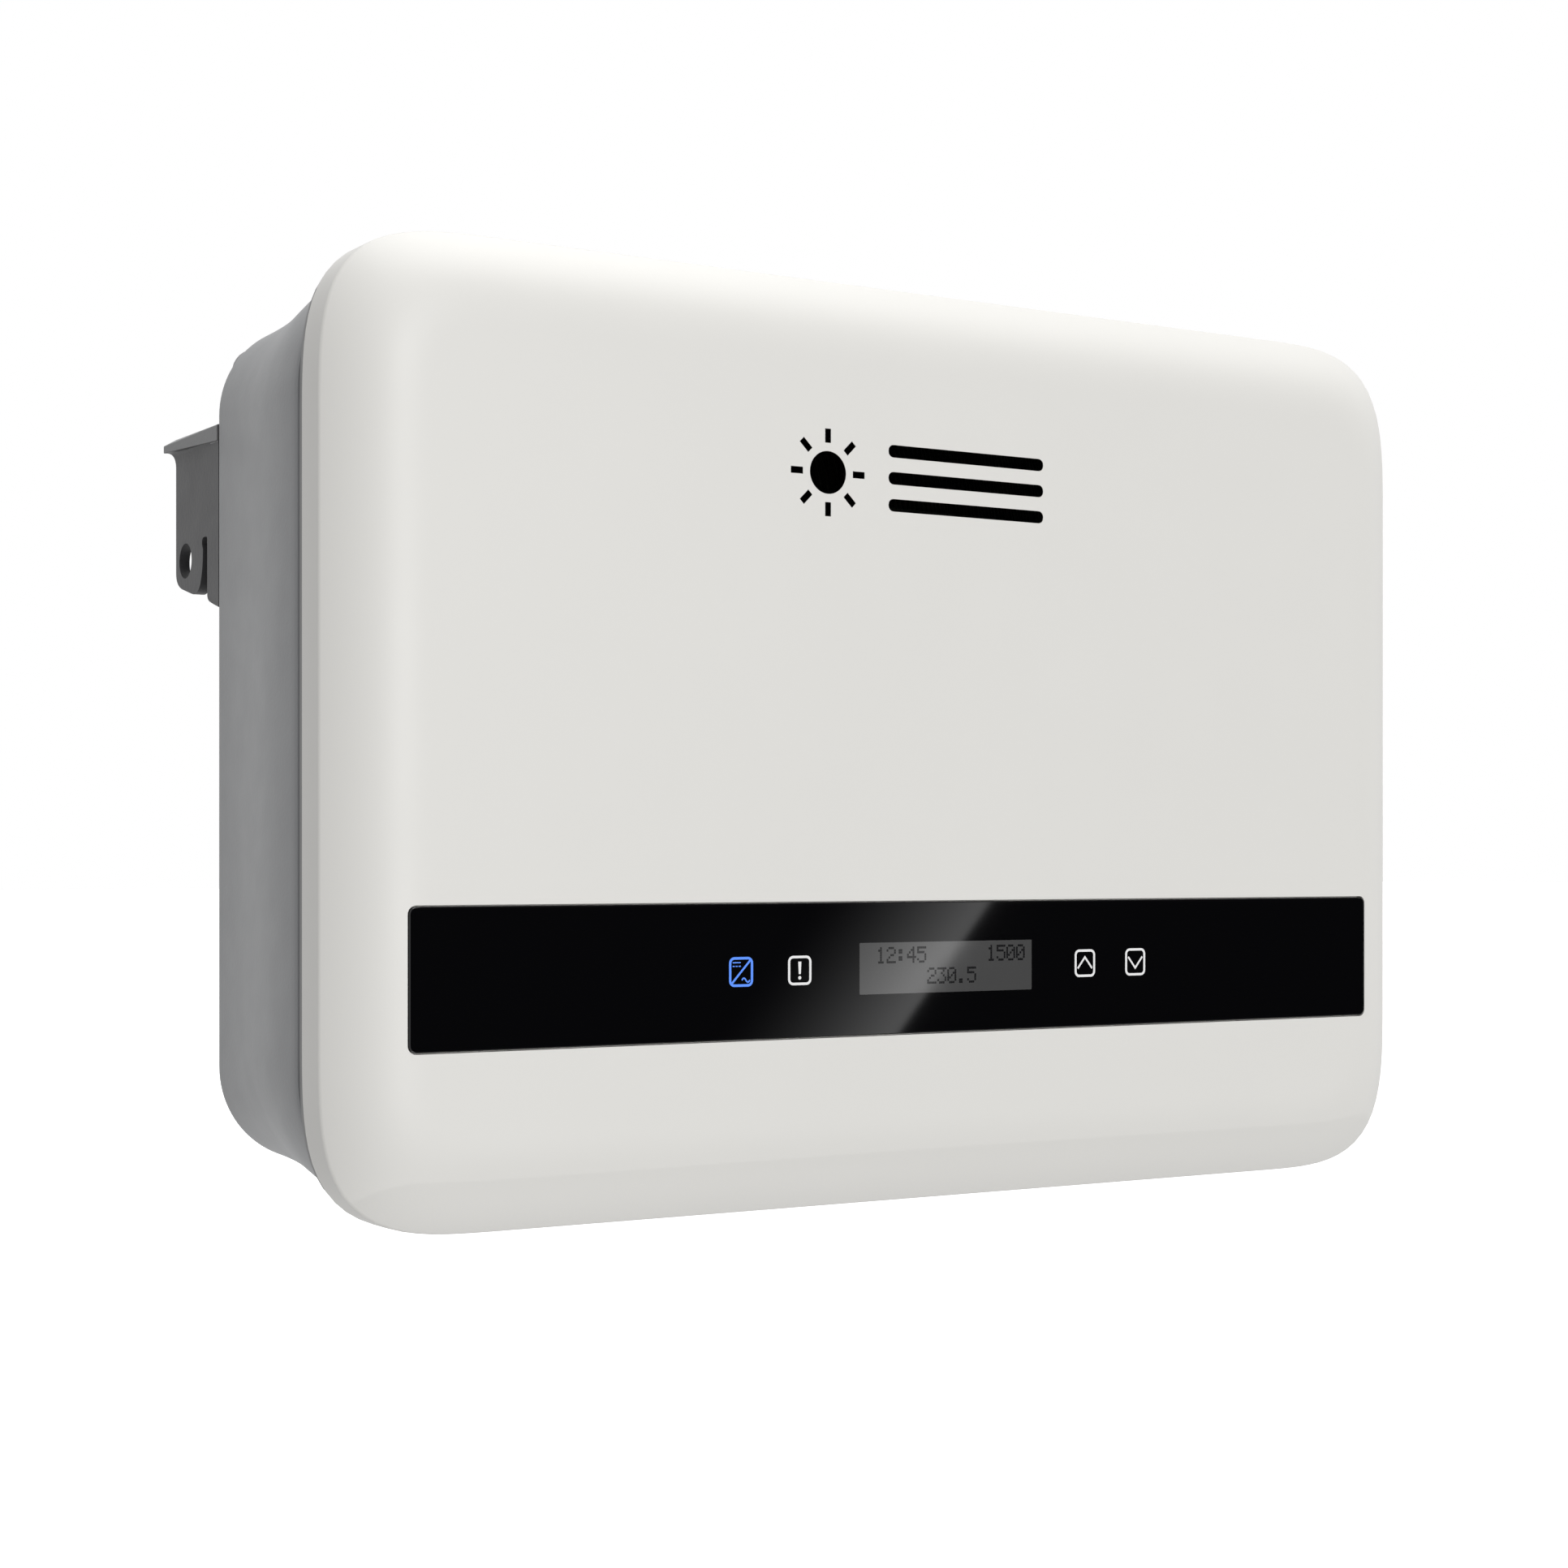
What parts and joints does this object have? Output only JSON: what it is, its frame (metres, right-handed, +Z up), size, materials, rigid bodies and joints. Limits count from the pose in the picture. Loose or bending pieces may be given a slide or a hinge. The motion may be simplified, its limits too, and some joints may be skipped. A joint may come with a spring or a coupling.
{
  "type": "string inverter",
  "caption": "Wall-mounted solar string inverter with a soft-cornered white cover, black glass display strip, finned heat sink, connector bay and hanging bracket.",
  "frame": {"origin": "centre of the wall bracket's back face, which lies on the wall", "axes": "+Y into the wall, so the front looks along -Y; +X to the viewer's right; +Z up"},
  "size_m": [0.29, 0.12, 0.207],
  "materials": {
    "cover_paint": "satin off-white",
    "case_paint": "grey powder coat on die-cast aluminium",
    "bracket_steel": "dark grey powder coat",
    "sink_aluminium": "plain extruded",
    "black_glass": "gloss black",
    "lcd": "grey display",
    "black_plastic": "satin black",
    "grey_plastic": "satin grey",
    "clear_plastic": "clear light guide",
    "rubber": "matte black",
    "board_green": "green solder mask",
    "screw_steel": "plain",
    "brass": "plain",
    "copper_wire": "enamelled copper winding",
    "film_yellow": "satin yellow",
    "relay_white": "satin white",
    "varistor_blue": "satin blue"
  },
  "bodies": {
    "bracket": {"wall_bracket": "bracket_steel"},
    "inverter": {"front_cover": "cover_paint", "display_glass": "black_glass", "display_carrier": "black_plastic", "lcd_module": "lcd", "display_board": "board_green", "touch_spring_up": "brass", "touch_spring_down": "brass", "light_guide_status": "clear_plastic", "light_guide_fault": "clear_plastic", "cover_gasket": "rubber", "cover_screw_top_left": "screw_steel", "cover_screw_top_right": "screw_steel", "cover_screw_bottom_left": "screw_steel", "cover_screw_bottom_right": "screw_steel", "rear_housing": "case_paint", "heat_sink": "sink_aluminium", "hanger_bracket": "bracket_steel", "hanger_screw_left": "screw_steel", "hanger_screw_middle": "screw_steel", "hanger_screw_right": "screw_steel", "dc_switch_body": "grey_plastic", "pv_socket_plus": "black_plastic", "pv_socket_minus": "black_plastic", "com_port": "black_plastic", "dongle_port": "black_plastic", "dongle_cap": "rubber", "ac_socket": "black_plastic", "ac_socket_nut": "grey_plastic", "earth_screw": "screw_steel", "pressure_vent": "grey_plastic", "main_board": "board_green", "board_standoff_1": "brass", "board_standoff_2": "brass", "board_standoff_3": "brass", "board_standoff_4": "brass", "control_board": "board_green", "control_bracket": "sink_aluminium", "power_module": "black_plastic", "thermal_pad": "grey_plastic", "boost_inductor": "copper_wire", "output_inductor": "copper_wire", "emi_choke": "copper_wire", "dc_link_capacitor_1": "black_plastic", "dc_link_capacitor_2": "black_plastic", "dc_link_capacitor_3": "black_plastic", "film_capacitor": "film_yellow", "relay_1": "relay_white", "relay_2": "relay_white", "current_sensor": "black_plastic", "input_terminal": "grey_plastic", "output_terminal": "grey_plastic", "input_fuse": "relay_white", "surge_varistor": "varistor_blue", "display_ribbon": "grey_plastic"},
    "dc_switch": {"dc_switch_knob": "black_plastic", "dc_switch_shaft": "screw_steel"},
    "com_cap": {"com_port_cap": "black_plastic"}
  },
  "joints": [
    {"name": "inverter_lift", "type": "slide", "parent": "bracket", "child": "inverter", "axis": [0, 0, 1], "range_m": [0, 0.012]},
    {"name": "dc_switch_turn", "type": "hinge", "parent": "inverter", "child": "dc_switch", "pos_m": [-0.085, -0.062, -0.141], "axis": [0, 0, 1], "range_deg": [0, 90]},
    {"name": "com_cap_turn", "type": "hinge", "parent": "inverter", "child": "com_cap", "pos_m": [-0.003, -0.062, -0.141], "axis": [0, 0, 1], "range_deg": [0, 60]}
  ]
}
